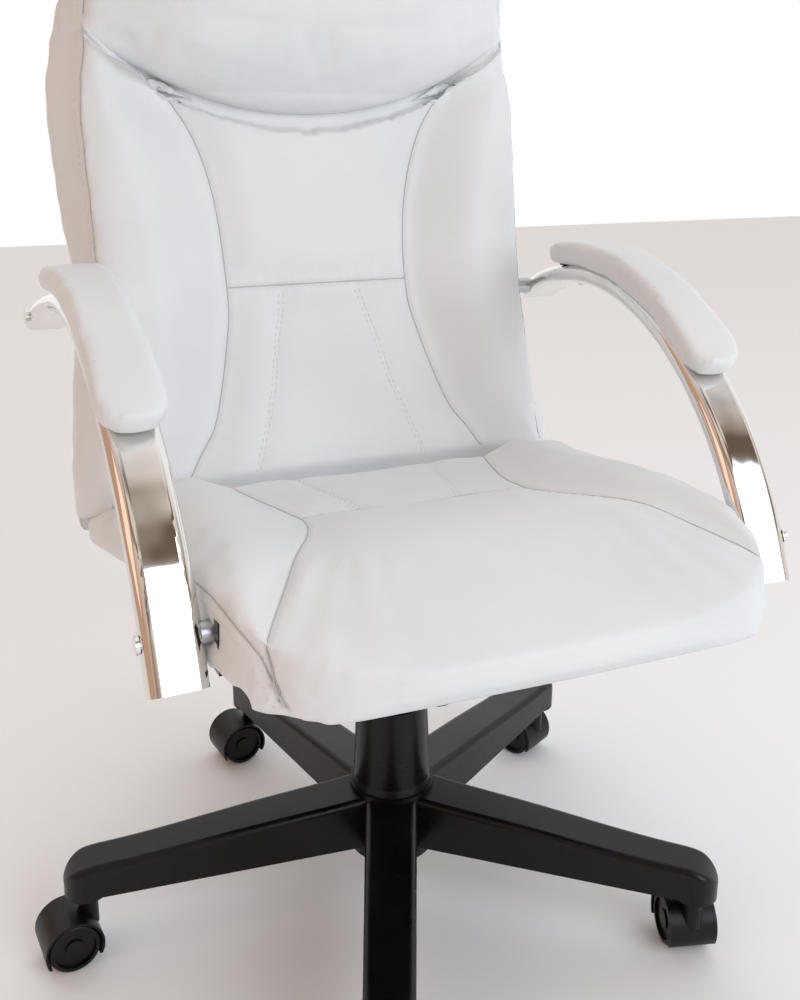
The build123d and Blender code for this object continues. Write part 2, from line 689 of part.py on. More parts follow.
write("pressure_tube", pressure_tube())
write("tube_gland", tube_gland())
write("release_pin", release_pin())
write("mechanism_housing", mechanism_housing())
write("tilt_axle", tilt_axle())
write("tilt_rubber", tilt_rubber())
write("tension_bolt", tension_bolt())
write("tension_knob", tension_knob())
write("height_lever", height_lever())
write("lever_grip", lever_grip())

shell = plywood_shell()
plate_screws = plate_bolts()
plate = seat_plate()
for screw in plate_screws:
    plate = plate - screw
    shell = shell - screw
write("seat_plate", plate)
write("plate_bolts", *plate_screws)
write("plywood_shell", shell)

bolts = [arm_bolt(foot_frame(), -FOOT_BOLT_UP, FOOT_BOLT_REACH),
         arm_bolt(tail_frame(), TAIL_BOLT_UP, TAIL_BOLT_REACH)]
anchors = [low_anchor() - bolts[0], high_anchor() - bolts[1]]
spacers = [arm_spacer(foot_frame(), -FOOT_BOLT_UP, FOOT_BOLT_REACH) - bolts[0] - low_anchor(),
           arm_spacer(tail_frame(), TAIL_BOLT_UP, TAIL_BOLT_REACH) - bolts[1] - high_anchor()]
spacers = [min(spacer.solids(), key=lambda solid: solid.center().X) for spacer in spacers]
screws = [pad_screw(degrees) for degrees in PAD_SCREW_DEG]
tube = arm_bar(0) - arm_bar(ARM_TUBE_WALL)
base_plate = pad_base()
for cutter in bolts + spacers + screws:
    tube = tube - cutter
for screw in screws:
    base_plate = base_plate - screw

for side, place in (("right", lambda shape: shape), ("left", mirrored)):
    write("arm_tube_" + side, place(tube))
    write("arm_pad_base_" + side, place(base_plate))
    write("arm_pad_" + side, place(arm_pad()))
both = (lambda shape: shape, mirrored)
write("arm_end_plugs", *[place(plug) for plug in arm_end_plugs() for place in both])
write("arm_bolts", *[place(bolt) for bolt in bolts for place in both])
write("arm_anchors", *[place(anchor) for anchor in anchors for place in both])
write("arm_spacers", *[place(spacer) for spacer in spacers for place in both])
write("pad_screws", *[place(screw) for screw in screws for place in both])

hidden = [shell, *plate_screws]
for piece in bolts + anchors + spacers:
    hidden += [piece, mirrored(piece)]
front_of_shell = before_shell()
seat_body = seat_plan() & seat_side()
back_body = back_front_outline() & back_side()
headrest = headrest_region() & headrest_side() & back_front_outline()
soft = {
    "seat_cushion": seat_body & front_of_shell & crease_prism(False),
    "back_cushion": (back_body & front_of_shell & crease_prism(True)) - headrest,
    "headrest_cushion": headrest & front_of_shell,
    "rear_cover": (back_body & block(-300, 300, 150, 500, 372, 1200)) - front_of_shell,
}
for node, cushion in soft.items():
    for piece in hidden:
        cushion = cushion - piece
    write(node, largest(cushion))
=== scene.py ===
import math

import bmesh
import bpy
import numpy as np
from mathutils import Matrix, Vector
from mathutils.bvhtree import BVHTree
from mathutils.kdtree import KDTree


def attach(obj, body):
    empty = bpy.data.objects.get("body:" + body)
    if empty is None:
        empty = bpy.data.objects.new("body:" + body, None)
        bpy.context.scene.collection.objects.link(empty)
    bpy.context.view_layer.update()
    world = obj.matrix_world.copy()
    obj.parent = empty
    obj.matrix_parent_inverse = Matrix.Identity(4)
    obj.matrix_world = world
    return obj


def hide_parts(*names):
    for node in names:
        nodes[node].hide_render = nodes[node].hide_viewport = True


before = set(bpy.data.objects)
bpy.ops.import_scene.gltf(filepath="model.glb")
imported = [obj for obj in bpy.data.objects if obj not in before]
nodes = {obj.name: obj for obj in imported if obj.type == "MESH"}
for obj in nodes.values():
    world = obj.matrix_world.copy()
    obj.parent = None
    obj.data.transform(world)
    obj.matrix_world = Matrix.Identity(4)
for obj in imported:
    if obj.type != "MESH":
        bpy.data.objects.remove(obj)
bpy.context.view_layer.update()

scene = bpy.context.scene


# ---------------------------------------------------------------- five-star base
# Injection moulding in black glass-filled nylon: a hub, five tapering legs and domed tips.
# Each tip holds a pressed-in steel socket for a castor stem.

def linear(hex_colour):
    """Linear colour of an sRGB hex value."""
    parts = [int(hex_colour[i:i + 2], 16) / 255 for i in (1, 3, 5)]
    return [p / 12.92 if p <= 0.04045 else ((p + 0.055) / 1.055) ** 2.4 for p in parts] + [1.0]


def add(material, kind, links=(), **settings):
    """Adds a node; settings are its properties or socket values, links the sockets that feed it."""
    made = material.node_tree.nodes.new("ShaderNode" + kind)
    for name, value in settings.items():
        if hasattr(made, name):
            setattr(made, name, value)
        else:
            made.inputs[name.replace("_", " ")].default_value = value
    for name, source in dict(links).items():
        material.node_tree.links.new(source, made.inputs[name])
    return made


def finish(name, colour, **constants):
    """Material whose constants stand on its shader's own sockets."""
    made = bpy.data.materials.new(name)
    made.use_nodes = True
    shader = made.node_tree.nodes["Principled BSDF"]
    shader.inputs["Base Color"].default_value = linear(colour)
    for socket, value in constants.items():
        shader.inputs[socket.replace("_", " ")].default_value = value
    return made


def feed(material, **sources):
    """Links sources to the material's shader."""
    shader = material.node_tree.nodes["Principled BSDF"]
    for socket, source in sources.items():
        material.node_tree.links.new(source, shader.inputs[socket.replace("_", " ")])


def moulded(name, dark, light, grain_mm, depth_mm, smooth, rough):
    """Moulded plastic: a spark-eroded mould leaves a fine grain, and handling polishes patches."""
    made = finish(name, dark, IOR=1.5, Specular_IOR_Level=0.3)
    place = add(made, "TexCoord").outputs["Object"]
    grain = add(made, "TexNoise", {"Vector": place}, Scale=1000 / grain_mm, Detail=3.0, Roughness=0.6)
    patches = add(made, "TexNoise", {"Vector": place}, Scale=1000 / 60, Detail=4.0, Roughness=0.55)
    tone = add(made, "ValToRGB", {"Fac": patches.outputs["Fac"]})
    tone.color_ramp.elements[0].position, tone.color_ramp.elements[1].position = 0.35, 0.7
    tone.color_ramp.elements[0].color, tone.color_ramp.elements[1].color = linear(dark), linear(light)
    gloss = add(made, "MapRange", {"Value": patches.outputs["Fac"]},
                From_Min=0.3, From_Max=0.7, To_Min=smooth, To_Max=rough)
    relief = add(made, "Bump", {"Height": grain.outputs["Fac"]}, Strength=0.5, Distance=depth_mm / 1000)
    feed(made, Base_Color=tone.outputs["Color"], Roughness=gloss.outputs["Result"],
         Normal=relief.outputs["Normal"])
    return made


def cover_nodes(material, *names):
    """Gives CAD nodes their finish."""
    for name in names:
        mesh = nodes[name].data
        mesh.materials.clear()
        mesh.materials.append(material)


# Nylon straight from the mould: near black, satin, with soft patches of polish along the legs.
BASE_NYLON = moulded("moulded_nylon_black", "#070707", "#0C0C0D", 1.6, 0.05, 0.24, 0.36)
cover_nodes(BASE_NYLON, "star_base")

# Zinc-plated steel: bluish grey, slightly mottled where the plating crystals catch the light.
ZINC_STEEL = finish("zinc_plated_steel", "#B9BDC1", Metallic=1.0, Roughness=0.34)
zinc_place = add(ZINC_STEEL, "TexCoord").outputs["Object"]
zinc_bloom = add(ZINC_STEEL, "TexVoronoi", {"Vector": zinc_place}, Scale=1000 / 2.5)
zinc_tone = add(ZINC_STEEL, "ValToRGB", {"Fac": zinc_bloom.outputs["Distance"]})
zinc_tone.color_ramp.elements[0].color = linear("#A9ADB2")
zinc_tone.color_ramp.elements[1].color = linear("#C7CACD")
feed(ZINC_STEEL, Base_Color=zinc_tone.outputs["Color"])
cover_nodes(ZINC_STEEL, "castor_sockets")


# ---------------------------------------------------------------- castors
# Twin-wheel castors in black nylon. A hood covers the tops of both wheels, a steel stem turns in
# the leg's socket, and the wheels turn on a steel axle.

# Tougher, duller nylon than the base, scuffed by the floor.
CASTOR_NYLON = moulded("castor_nylon_black", "#070707", "#0E0D0D", 1.8, 0.08, 0.32, 0.46)
for castor in range(1, 6):
    cover_nodes(CASTOR_NYLON, *[f"castor_{castor}_{part}" for part in ("hood", "wheel_a", "wheel_b")])
    cover_nodes(ZINC_STEEL, f"castor_{castor}_pins")


# ---------------------------------------------------------------- gas lift and its cover
# A steel outer tube pressed into the hub, a pressure tube sliding in it, and a telescopic cover of
# three moulded sleeves that hides both.

cover_nodes(BASE_NYLON, "cover_lower", "cover_middle", "cover_upper")

# Stove enamel on steel: black, even, glossier than plastic, with a faint orange peel.
BLACK_STEEL = finish("black_enamelled_steel", "#101011", Roughness=0.28, IOR=1.5)
enamel_peel = add(BLACK_STEEL, "TexNoise", {"Vector": add(BLACK_STEEL, "TexCoord").outputs["Object"]},
                  Scale=1000 / 2.5, Detail=1.0)
enamel_relief = add(BLACK_STEEL, "Bump", {"Height": enamel_peel.outputs["Fac"]}, Strength=0.3,
                    Distance=0.00008)
feed(BLACK_STEEL, Normal=enamel_relief.outputs["Normal"])
cover_nodes(BLACK_STEEL, "lift_outer_tube", "tube_gland")

# Acetal guide bush: natural off-white, waxy and smooth.
ACETAL = moulded("natural_acetal", "#D8D4C8", "#E2DED2", 1.5, 0.02, 0.35, 0.45)
cover_nodes(ACETAL, "lift_guide")

# Ground and hard-chromed rods: bright, with the ring marks of centreless grinding.
GROUND_STEEL = finish("ground_chromed_rod", "#D3D4D6", Metallic=1.0, Roughness=0.16)
ground_rings = add(GROUND_STEEL, "TexNoise", {"Vector": add(GROUND_STEEL, "TexCoord").outputs["Object"]},
                   Scale=1000 / 1.2, Detail=2.0)
ground_gloss = add(GROUND_STEEL, "MapRange", {"Value": ground_rings.outputs["Fac"]}, To_Min=0.12, To_Max=0.22)
feed(GROUND_STEEL, Roughness=ground_gloss.outputs["Result"])
cover_nodes(GROUND_STEEL, "lift_rod", "pressure_tube", "release_pin")
cover_nodes(ZINC_STEEL, "lift_clip")


# ---------------------------------------------------------------- tilt mechanism
# A pressed steel housing clamped on the lift's taper. The seat plate rocks on its axle against a
# rubber block, and a hand knob underneath sets how hard the block is squeezed.

cover_nodes(BLACK_STEEL, "mechanism_housing", "seat_plate", "height_lever")
cover_nodes(ZINC_STEEL, "tilt_axle", "tension_bolt", "plate_bolts")
KNOB_PLASTIC = moulded("moulded_knob_plastic", "#111112", "#19191A", 1.5, 0.08, 0.38, 0.5)
cover_nodes(KNOB_PLASTIC, "tension_knob", "lever_grip")

# Vulcanised rubber: matt charcoal with a bloom of wax.
RUBBER = moulded("vulcanised_rubber", "#1A1A1A", "#262524", 2.0, 0.05, 0.68, 0.82)
cover_nodes(RUBBER, "tilt_rubber")


# ---------------------------------------------------------------- plywood shell
# One sheet of hot-pressed beech plywood, bent where the seat turns up into the back. The padding is
# glued to it and the covers are stapled round its edges.

# Rotary-cut veneer: pale straw, with long grain across the seat and darker latewood lines.
PLYWOOD = finish("beech_plywood", "#C9A67C", Roughness=0.55, IOR=1.5)
veneer_place = add(PLYWOOD, "TexCoord").outputs["Object"]
veneer_grain = add(PLYWOOD, "Mapping", {"Vector": veneer_place}, Scale=(4.0, 90.0, 90.0))
veneer_lines = add(PLYWOOD, "TexNoise", {"Vector": veneer_grain.outputs["Vector"]}, Scale=3.0, Detail=6.0)
veneer_tone = add(PLYWOOD, "ValToRGB", {"Fac": veneer_lines.outputs["Fac"]})
veneer_tone.color_ramp.elements[0].position, veneer_tone.color_ramp.elements[1].position = 0.35, 0.65
veneer_tone.color_ramp.elements[0].color = linear("#B58F63")
veneer_tone.color_ramp.elements[1].color = linear("#D6B78E")
veneer_relief = add(PLYWOOD, "Bump", {"Height": veneer_lines.outputs["Fac"]}, Strength=0.2, Distance=0.0002)
feed(PLYWOOD, Base_Color=veneer_tone.outputs["Color"], Normal=veneer_relief.outputs["Normal"])
cover_nodes(PLYWOOD, "plywood_shell")


# ---------------------------------------------------------------- seat
# Moulded foam under white coated leathercloth: a rear panel, two wings, a front panel that rolls
# over the edge, and a boxing strip round the sides. Every joint is sewn, then topstitched.

# Coated leathercloth: a white vinyl skin embossed with a leather pebble of about 1 mm, drawn at
# 1.8 mm so that it shows, over slow dirt and tone changes. It has a soft satin sheen.
def leathercloth(name, pale, shade):
    """Coated leathercloth between two tones."""
    made = finish(name, pale, IOR=1.5)
    place = add(made, "TexCoord").outputs["Object"]
    pebble = add(made, "TexVoronoi", {"Vector": place}, Scale=1000 / 1.8, Randomness=0.9)
    pores = add(made, "TexNoise", {"Vector": place}, Scale=1000 / 3.5, Detail=3.0, Roughness=0.6)
    skin = add(made, "Math", {0: pebble.outputs["Distance"], 1: pores.outputs["Fac"]}, operation="ADD")
    slow = add(made, "TexNoise", {"Vector": place}, Scale=1000 / 140, Detail=3.0, Roughness=0.5)
    tone = add(made, "ValToRGB", {"Fac": slow.outputs["Fac"]})
    tone.color_ramp.elements[0].position, tone.color_ramp.elements[1].position = 0.3, 0.7
    tone.color_ramp.elements[0].color, tone.color_ramp.elements[1].color = linear(shade), linear(pale)
    gloss = add(made, "MapRange", {"Value": pores.outputs["Fac"]},
                From_Min=0.3, From_Max=0.7, To_Min=0.40, To_Max=0.52)
    relief = add(made, "Bump", {"Height": skin.outputs["Value"]}, Strength=0.22, Distance=0.0003)
    feed(made, Base_Color=tone.outputs["Color"], Roughness=gloss.outputs["Result"],
         Normal=relief.outputs["Normal"])
    return made


WHITE_LEATHERCLOTH = leathercloth("white_leathercloth", "#E3E7E9", "#DCE1E4")


def points_of(piece, what="co"):
    """The piece's points, or their normals, one row each."""
    flat = np.empty(len(piece.data.vertices) * 3, dtype=np.float32)
    piece.data.vertices.foreach_get(what, flat)
    return flat.reshape(-1, 3).astype(float)


def move_points(piece, points):
    """Puts the piece's points at new places."""
    piece.data.vertices.foreach_set("co", points.astype(np.float32).ravel())
    piece.data.update()


def settle(piece):
    """Applies the piece's modifiers."""
    graph = bpy.context.evaluated_depsgraph_get()
    mesh = bpy.data.meshes.new_from_object(piece.evaluated_get(graph))
    piece.modifiers.clear()
    piece.data = mesh


def ramp(values, low, high):
    """Smooth step from 0 at low to 1 at high."""
    share = np.clip((values - low) / (high - low), 0, 1)
    return share * share * (3 - 2 * share)


EASING_LOSS = 0.003            # what the easing takes off the free faces
EASING_PASSES = 6
CUSHION_VOXEL = 0.007


def hump(values, middle, width):
    """Bell curve of height 1."""
    return np.exp(-((values - middle) / width) ** 2)


def board_copy(shape, low, high):
    """Adds the plywood between two heights and depths (y, z), so that a cover closes round it."""
    sheet = bmesh.new()
    sheet.from_mesh(nodes["plywood_shell"].data)
    bmesh.ops.remove_doubles(sheet, verts=sheet.verts, dist=1e-6)
    for corner, sign in ((low, -1), (high, 1)):
        for axis in (1, 2):
            way = [0, 0, 0]
            way[axis] = sign
            place = [0, 0, 0]
            place[axis] = corner[axis - 1]
            bmesh.ops.bisect_plane(sheet, geom=sheet.verts[:] + sheet.edges[:] + sheet.faces[:],
                                   plane_co=place, plane_no=way, clear_outer=True)
            bmesh.ops.holes_fill(sheet, edges=[e for e in sheet.edges if e.is_boundary], sides=0)
    mesh = bpy.data.meshes.new("board")
    sheet.to_mesh(mesh)
    sheet.free()
    shape.from_mesh(mesh)
    bpy.data.meshes.remove(mesh)


def filled(name, solids, voxel, eased, held, pressure, swell, board=None):
    """Padding in its cover: the solids as one skin with eased edges, blown out by the cloth solver
    by no more than swell, except where held is true, and then made twice as fine."""
    mesh = bpy.data.meshes.new(name)
    joined = bmesh.new()
    for solid in solids:
        joined.from_mesh(nodes[solid].data)
    if board:
        board_copy(joined, *board)
    joined.to_mesh(mesh)
    joined.free()
    piece = bpy.data.objects.new(name, mesh)
    scene.collection.objects.link(piece)
    skin = piece.modifiers.new("skin", "REMESH")
    skin.mode, skin.voxel_size = "VOXEL", voxel
    settle(piece)
    glued = held(points_of(piece))
    for group, members in (("held", glued), ("free", ~glued)):
        piece.vertex_groups.new(name=group).add([int(i) for i in np.nonzero(members)[0]], 1.0, "REPLACE")
    ease = piece.modifiers.new("ease", "SMOOTH")
    ease.factor, ease.iterations, ease.vertex_group = 0.5, eased, "free"
    settle(piece)
    rest = points_of(piece) + points_of(piece, "normal") * np.where(glued, 0, EASING_LOSS)[:, None]
    move_points(piece, rest)
    cloth = piece.modifiers.new("blown", "CLOTH")
    cloth.settings.quality = 4
    cloth.settings.mass = 0.3
    cloth.settings.use_pressure = True
    cloth.settings.uniform_pressure_force = pressure
    cloth.settings.effector_weights.gravity = 0
    cloth.settings.vertex_group_mass = "held"
    cloth.collision_settings.use_collision = False
    for moment in range(1, 21):
        scene.frame_set(moment)
    settle(piece)
    scene.frame_set(1)
    blown = points_of(piece) - rest
    reach = np.linalg.norm(blown, axis=1, keepdims=True)
    move_points(piece, rest + blown * np.minimum(1, swell / np.maximum(reach, 1e-9)))
    finer = piece.modifiers.new("finer", "SUBSURF")
    finer.levels = finer.render_levels = 1
    settle(piece)
    return piece


def seam_line(controls, both=True, step=0.002):
    """Evenly spaced points on smooth lines through points in mm, with the mirrored line if both."""
    lines = []
    for side in ((1, -1) if both else (1,)):
        ends = [Vector(p) * 0.001 for p in controls]
        for point in ends:
            point.x *= side
        ends = [ends[0] * 2 - ends[1]] + ends + [ends[-1] * 2 - ends[-2]]
        line = []
        for a, b, c, d in zip(ends, ends[1:], ends[2:], ends[3:]):
            count = max(2, round((c - b).length / step))
            for i in range(count):
                t = i / count
                line.append(0.5 * ((2 * b) + (c - a) * t + (2 * a - 5 * b + 4 * c - d) * t ** 2
                                   + (3 * b - a - 3 * c + d) * t ** 3))
        lines.append(line + [ends[-2]])
    return lines


def on_skin(piece, lines):
    """Lines laid on the piece's surface, each as (point, outward direction) pairs."""
    tree = BVHTree.FromObject(piece, bpy.context.evaluated_depsgraph_get())
    return [[tree.find_nearest(point)[:2] for point in line] for line in lines]


def seam_reach(piece, laid):
    """Each point's distance from the nearest seam, and how far along the seams it stands."""
    count = sum(len(line) for line in laid)
    tree = KDTree(count)
    along, travelled = [], 0.0
    for line in laid:
        for i, (point, _) in enumerate(line):
            travelled += (point - line[i - 1][0]).length if i else 0.5
            tree.insert(point, len(along))
            along.append(travelled)
    tree.balance()
    found = [tree.find(point) for point in points_of(piece)]
    return np.array([f[2] for f in found]), np.array([along[f[1]] for f in found])


def refine(piece, laid, reach):
    """Splits the faces near the seams, so that they can hold a crisp fold."""
    far, _ = seam_reach(piece, laid)
    shape = bmesh.new()
    shape.from_mesh(piece.data)
    shape.verts.ensure_lookup_table()
    edges = [e for e in shape.edges if far[e.verts[0].index] < reach and far[e.verts[1].index] < reach]
    bmesh.ops.subdivide_edges(shape, edges=edges, cuts=1, use_grid_fill=True)
    shape.to_mesh(piece.data)
    shape.free()


def sew(piece, lines, dip=0.004, dip_w=0.022, fold=0.0016, fold_w=0.0028, pucker=0.00025):
    """Draws the skin in along its seams: a broad dip, a sharp fold and small gathers beside it."""
    laid = on_skin(piece, lines)
    refine(piece, laid, fold_w * 3)
    far, along = seam_reach(piece, laid)
    gathers = np.sin(along * 370) + np.sin(along * 613 + 1.3) + 0.7 * np.sin(along * 971 + 0.4)
    depth = dip * np.exp(-(far / dip_w) ** 2) + fold * np.exp(-(far / fold_w) ** 2)
    depth += pucker * gathers * np.exp(-far / 0.011) * (1 - np.exp(-(far / 0.004) ** 2))
    move_points(piece, points_of(piece) - points_of(piece, "normal") * depth[:, None])
    return [[(point - out * (dip + fold * 0.75), out) for point, out in line] for line in laid]


def stitches(name, piece, rows, pitch=0.0062, long=0.0046, thick=0.0009):
    """Topstitching as one mesh: short lengths of thread whose ends dip into the skin."""
    section = [(math.cos(a), math.sin(a)) for a in (math.radians(60 * k) for k in range(6))]
    stations = [(-0.5, 0.35, -0.9), (-0.4, 0.8, -0.1), (-0.15, 1.0, 0.45), (0.15, 1.0, 0.45),
                (0.4, 0.8, -0.1), (0.5, 0.35, -0.9)]
    verts, faces = [], []
    for row in on_skin(piece, rows):
        since = pitch
        for (before, _), (point, out) in zip(row, row[1:]):
            since += (point - before).length
            if since < pitch or (point - before).length < 1e-6:
                continue
            since = 0.0
            ahead = (point - before).normalized()
            ahead = (ahead - out * ahead.dot(out)).normalized()
            across = out.cross(ahead)
            start = len(verts)
            for t, girth, rise in stations:
                centre = point + ahead * (t * long) + out * (rise * thick / 2)
                verts += [centre + (across * x + out * y) * (girth * thick / 2) for x, y in section]
            for ring in range(len(stations) - 1):
                for k in range(6):
                    a, b = start + ring * 6 + k, start + ring * 6 + (k + 1) % 6
                    faces.append((a, b, b + 6, a + 6))
            faces += [tuple(start + k for k in range(5, -1, -1)),
                      tuple(start + 30 + k for k in range(6))]
    mesh = bpy.data.meshes.new(name)
    mesh.from_pydata(verts, [], faces)
    made = bpy.data.objects.new(name, mesh)
    scene.collection.objects.link(made)
    dress(made, THREAD)
    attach(made, "seat")
    return made


def painted_shade_lines(name, rows, thick=0.0012):
    """Painted shade along each seam: narrow tubes of the grey shade cloth, laid in the shut folds where two
    panels are sewn together.
    """
    verts, faces = [], []
    for row in rows:
        for _ in range(6):
            inner = [((a[0] + b[0] * 2 + c[0]) / 4, b[1]) for a, b, c in zip(row, row[1:], row[2:])]
            row = [row[0]] + inner + [row[-1]]
        start = len(verts)
        for i, (point, out) in enumerate(row):
            ahead = row[min(i + 1, len(row) - 1)][0] - row[max(i - 1, 0)][0]
            across = out.cross(ahead.normalized())
            for turn in range(5):
                angle = math.radians(72 * turn)
                verts.append(point + (across * math.cos(angle) + out * math.sin(angle)) * thick / 2)
        for i in range(len(row) - 1):
            for k in range(5):
                a, b = start + i * 5 + k, start + i * 5 + (k + 1) % 5
                faces.append((a, b, b + 5, a + 5))
    mesh = bpy.data.meshes.new(name)
    mesh.from_pydata(verts, [], faces)
    made = bpy.data.objects.new(name, mesh)
    scene.collection.objects.link(made)
    dress(made, SHADED_FOLD)
    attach(made, "seat")


def dress(piece, material):
    """Gives a piece one finish and smooth faces."""
    piece.data.materials.clear()
    piece.data.materials.append(material)
    piece.data.polygons.foreach_set("use_smooth", [True] * len(piece.data.polygons))
    piece.data.update()


# Spun polyester thread, white like the cover, with the twist of its plies.
THREAD = finish("polyester_thread", "#E4E4E1", Roughness=0.6, IOR=1.5)
thread_twist = add(THREAD, "TexNoise", {"Vector": add(THREAD, "TexCoord").outputs["Object"]},
                   Scale=1000 / 0.9, Detail=1.0)
thread_tone = add(THREAD, "ValToRGB", {"Fac": thread_twist.outputs["Fac"]})
thread_tone.color_ramp.elements[0].color = linear("#D2D2CE")
thread_tone.color_ramp.elements[1].color = linear("#EEEEEB")
feed(THREAD, Base_Color=thread_tone.outputs["Color"])

# Painted shade for the seams: the same cloth in grey, laid deep in each seam where the fold is always in
# shade.
SHADED_FOLD = leathercloth("seam_painted_shade_leathercloth", "#BDC1C4", "#B2B7BA")

# How tightly a boxing seam and a row of twin stitching draw the skin in, in metres.
BOXING_SEWING = {"dip": 0.001, "dip_w": 0.010, "fold": 0.0014, "pucker": 0.0001}
TWIN_SEWING = {"dip": 0.0014, "dip_w": 0.012, "fold": 0.0003, "pucker": 0.0}
TWIN_HALF_GAP = 2.6            # mm from the middle of twin stitching to each row

SEAT_FRONT_SEAM = [(0, -50, 457), (60, -52, 458), (100, -57, 460), (113, -66, 461)]
SEAT_ROLL_SEAM = [(113, -66, 461), (118, -101, 467), (134, -152, 476), (160, -205, 482),
                  (187, -256, 479), (205, -290, 462), (210, -304, 440), (205, -316, 424)]
SEAT_PANEL_SEAM = [(160, 142, 436), (146, 100, 440), (130, 40, 446), (119, -10, 452), (113, -66, 461)]
SEAT_TWIN_STITCH = [(92, 140, 437), (78, 95, 441), (64, 30, 447), (50, -48, 457)]
SEAT_BOXING_SEAM = [(246, 190, 436), (248, 130, 441), (249, 60, 447), (248, -30, 456), (246, -116, 466),
                    (240, -185, 474), (233, -235, 476), (224, -272, 468), (214, -295, 452),
                    (205, -309, 430)]


def board_height(depth):
    """Height of the sloping board's face at a distance back from the lift."""
    return 0.379 - 0.12 * depth


def seat_held(p):
    """The foam is glued to the board below and meets the back behind."""
    under = p[:, 2] < board_height(p[:, 1]) + 0.020
    return under | (p[:, 1] > 0.16)


seat = filled("seat_upholstery", ["seat_cushion"], CUSHION_VOXEL, EASING_PASSES, seat_held, 4.0, 0.006,
              board=((-0.5, 0.3), (0.20, 0.46)))
p, n = points_of(seat), points_of(seat, "normal")
underneath = (n[:, 2] < -0.5) & (p[:, 2] < board_height(p[:, 1]) + 0.008)
p[:, 2] -= 0.0015 * underneath
side, top = np.abs(p[:, 0]), ramp(n[:, 2], 0.15, 0.7)
wing = 0.013 * hump(side, 0.195, 0.042) * ramp(p[:, 1], -0.24, -0.05)
hollow = -0.004 * hump(side, 0.0, 0.09) * ramp(p[:, 1], -0.12, 0.0)
p[:, 2] += top * (wing + hollow)
roll = ramp(-n[:, 1], 0.2, 0.8) * ramp(-p[:, 1], 0.22, 0.30)
p[:, 1] -= roll * 0.006 * (1 - (side / 0.23) ** 2).clip(0, 1)
boxing = ramp(side, 0.20, 0.25) * ramp(p[:, 1], 0.03, 0.17)
p[:, 0] += np.sign(p[:, 0]) * 0.024 * boxing
move_points(seat, p)
seat_seams = (seam_line(SEAT_FRONT_SEAM) + seam_line(SEAT_ROLL_SEAM) + seam_line(SEAT_PANEL_SEAM))
seat_painted_shade_paths = sew(seat, seat_seams, dip=0.005, dip_w=0.026)
seat_painted_shade_paths += sew(seat, seam_line(SEAT_BOXING_SEAM), **BOXING_SEWING)
sew(seat, seam_line(SEAT_TWIN_STITCH), **TWIN_SEWING)
dress(seat, WHITE_LEATHERCLOTH)
# Painted shade: thin grey tubes laid along the bottoms of the seat's seams.
painted_shade_lines("seat_seam_painted_shade", seat_painted_shade_paths)
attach(seat, "seat")
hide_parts("seat_cushion")


# Spun-bonded dust cover stapled under the board: black, matt and felt-like.
DUST_COVER = finish("spunbonded_dust_cover", "#1C1C1D", Roughness=0.95, IOR=1.45)
felt_fibres = add(DUST_COVER, "TexNoise", {"Vector": add(DUST_COVER, "TexCoord").outputs["Object"]},
                  Scale=1000 / 2.0, Detail=4.0)
felt_tone = add(DUST_COVER, "ValToRGB", {"Fac": felt_fibres.outputs["Fac"]})
felt_tone.color_ramp.elements[0].color = linear("#131314")
felt_tone.color_ramp.elements[1].color = linear("#28282A")
felt_relief = add(DUST_COVER, "Bump", {"Height": felt_fibres.outputs["Fac"]}, Strength=0.5, Distance=0.0003)
feed(DUST_COVER, Base_Color=felt_tone.outputs["Color"], Normal=felt_relief.outputs["Normal"])
seat.data.materials.append(DUST_COVER)
for face in seat.data.polygons:
    middle = face.center
    if (face.normal.z < -0.8 and middle.z < board_height(middle.y) + 0.004
            and abs(middle.x) < 0.205 and middle.y > -0.26):
        face.material_index = 1


def beside(controls, shift):
    """A line's points shifted by (x, y, z) mm."""
    return [tuple(a + b for a, b in zip(point, shift)) for point in controls]


def twin_rows(controls):
    """The two rows of stitching beside a line."""
    return (seam_line(beside(controls, (-TWIN_HALF_GAP, 0, 0)))
            + seam_line(beside(controls, (TWIN_HALF_GAP, 0, 0))))


stitches("seat_stitching", seat,
         twin_rows(SEAT_TWIN_STITCH)
         + seam_line(beside(SEAT_BOXING_SEAM[2:], (3, 0, -9))))


# ---------------------------------------------------------------- back
# The same foam and cover on the upright part of the shell: a hollow middle between two bolsters,
# sewn into an upper and a lower panel, a boxing that widens rearwards and a rear panel.

BACK_FRONT = ([0.425, 0.530, 0.621, 0.760, 0.860, 0.980], [0.140, 0.186, 0.224, 0.250, 0.262, 0.268])
BACK_PANEL_SEAM = [(160, 262, 842), (156, 262, 826), (134, 258, 791), (119, 250, 751), (110, 243, 707),
                   (106, 236, 660), (105, 228, 624)]
BACK_CROSS_SEAM = [(0, 228, 624), (60, 228, 624), (105, 228, 624)]
BACK_LOWER_SEAM = [(105, 228, 624), (106, 218, 597), (112, 205, 568), (123, 187, 525), (137, 170, 484),
                   (155, 156, 460), (170, 145, 436)]
BACK_TWIN_STITCH = [(45, 226, 614), (50, 216, 590), (57, 205, 565), (68, 183, 518), (81, 168, 478),
                    (96, 150, 438)]
BACK_BOXING_SEAM = [(249, 150, 436), (250, 165, 470), (250, 187, 560), (250, 213, 644), (250, 223, 693),
                    (250, 234, 743), (250, 248, 819), (246, 256, 869), (240, 260, 897)]


def back_held(p):
    """The padding is glued to both faces of the shell, and its foot is tucked behind the seat."""
    return (p[:, 2] < 0.425) | ((np.abs(p[:, 0]) < 0.236) & (p[:, 1] > np.interp(
        p[:, 2], [0.372, 0.44, 0.644, 0.819, 0.95, 1.1], [0.19, 0.222, 0.258, 0.292, 0.304, 0.302])))


def pillow_foot(side):
    """Height of the headrest's lower seam at a distance from the middle."""
    return np.interp(side, [0, 0.045, 0.099, 0.135, 0.158, 0.170, 0.193, 0.218, 0.240, 0.262],
                     [0.802, 0.806, 0.818, 0.833, 0.843, 0.852, 0.868, 0.881, 0.894, 0.900])


